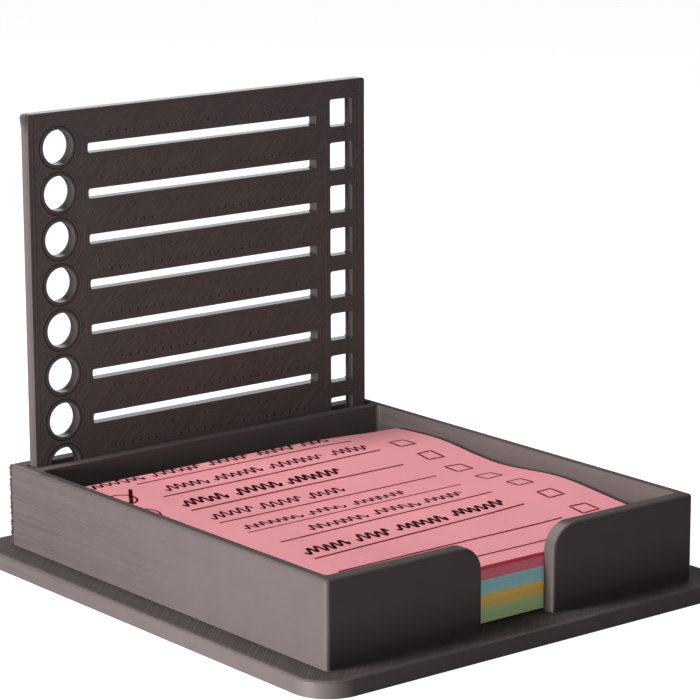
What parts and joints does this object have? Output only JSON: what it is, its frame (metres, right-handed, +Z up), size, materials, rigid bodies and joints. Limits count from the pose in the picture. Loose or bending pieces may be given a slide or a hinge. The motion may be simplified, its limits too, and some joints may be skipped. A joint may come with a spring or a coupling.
{
  "type": "sticky note tray with stencil",
  "caption": "Flat desk tray for a pad of square sticky notes, with a finger cut-out in the front wall and a checklist stencil standing in a slot behind the notes.",
  "frame": {"origin": "middle of the base plate's underside", "axes": "+X to the right seen from the front, +Y to the back where the stencil stands, +Z up"},
  "size_m": [0.093, 0.1046, 0.0831],
  "materials": {
    "printed_plastic": "printed in fine layers, satin",
    "pink_paper": "matt",
    "blue_paper": "matt",
    "yellow_paper": "matt",
    "green_paper": "matt",
    "backing_paper": "matt"
  },
  "bodies": {
    "tray": {"tray": "printed_plastic"},
    "stencil": {"stencil": "printed_plastic"},
    "note_pad": {"pad_backing": "backing_paper", "green_notes": "green_paper", "yellow_notes": "yellow_paper", "blue_notes": "blue_paper", "pink_notes": "pink_paper"},
    "top_note": {"top_note": "pink_paper"}
  },
  "joints": [
    {"name": "stencil_lift", "type": "slide", "parent": "tray", "child": "stencil", "axis": [0, 0, 1], "range_m": [0, 0.03]},
    {"name": "pad_lift", "type": "slide", "parent": "tray", "child": "note_pad", "axis": [0, 0, 1], "range_m": [0, 0.03]},
    {"name": "top_note_peel", "type": "hinge", "parent": "note_pad", "child": "top_note", "pos_m": [0, 0.03175, 0.01592], "axis": [-1, 0, 0], "range_deg": [0, 75]}
  ]
}
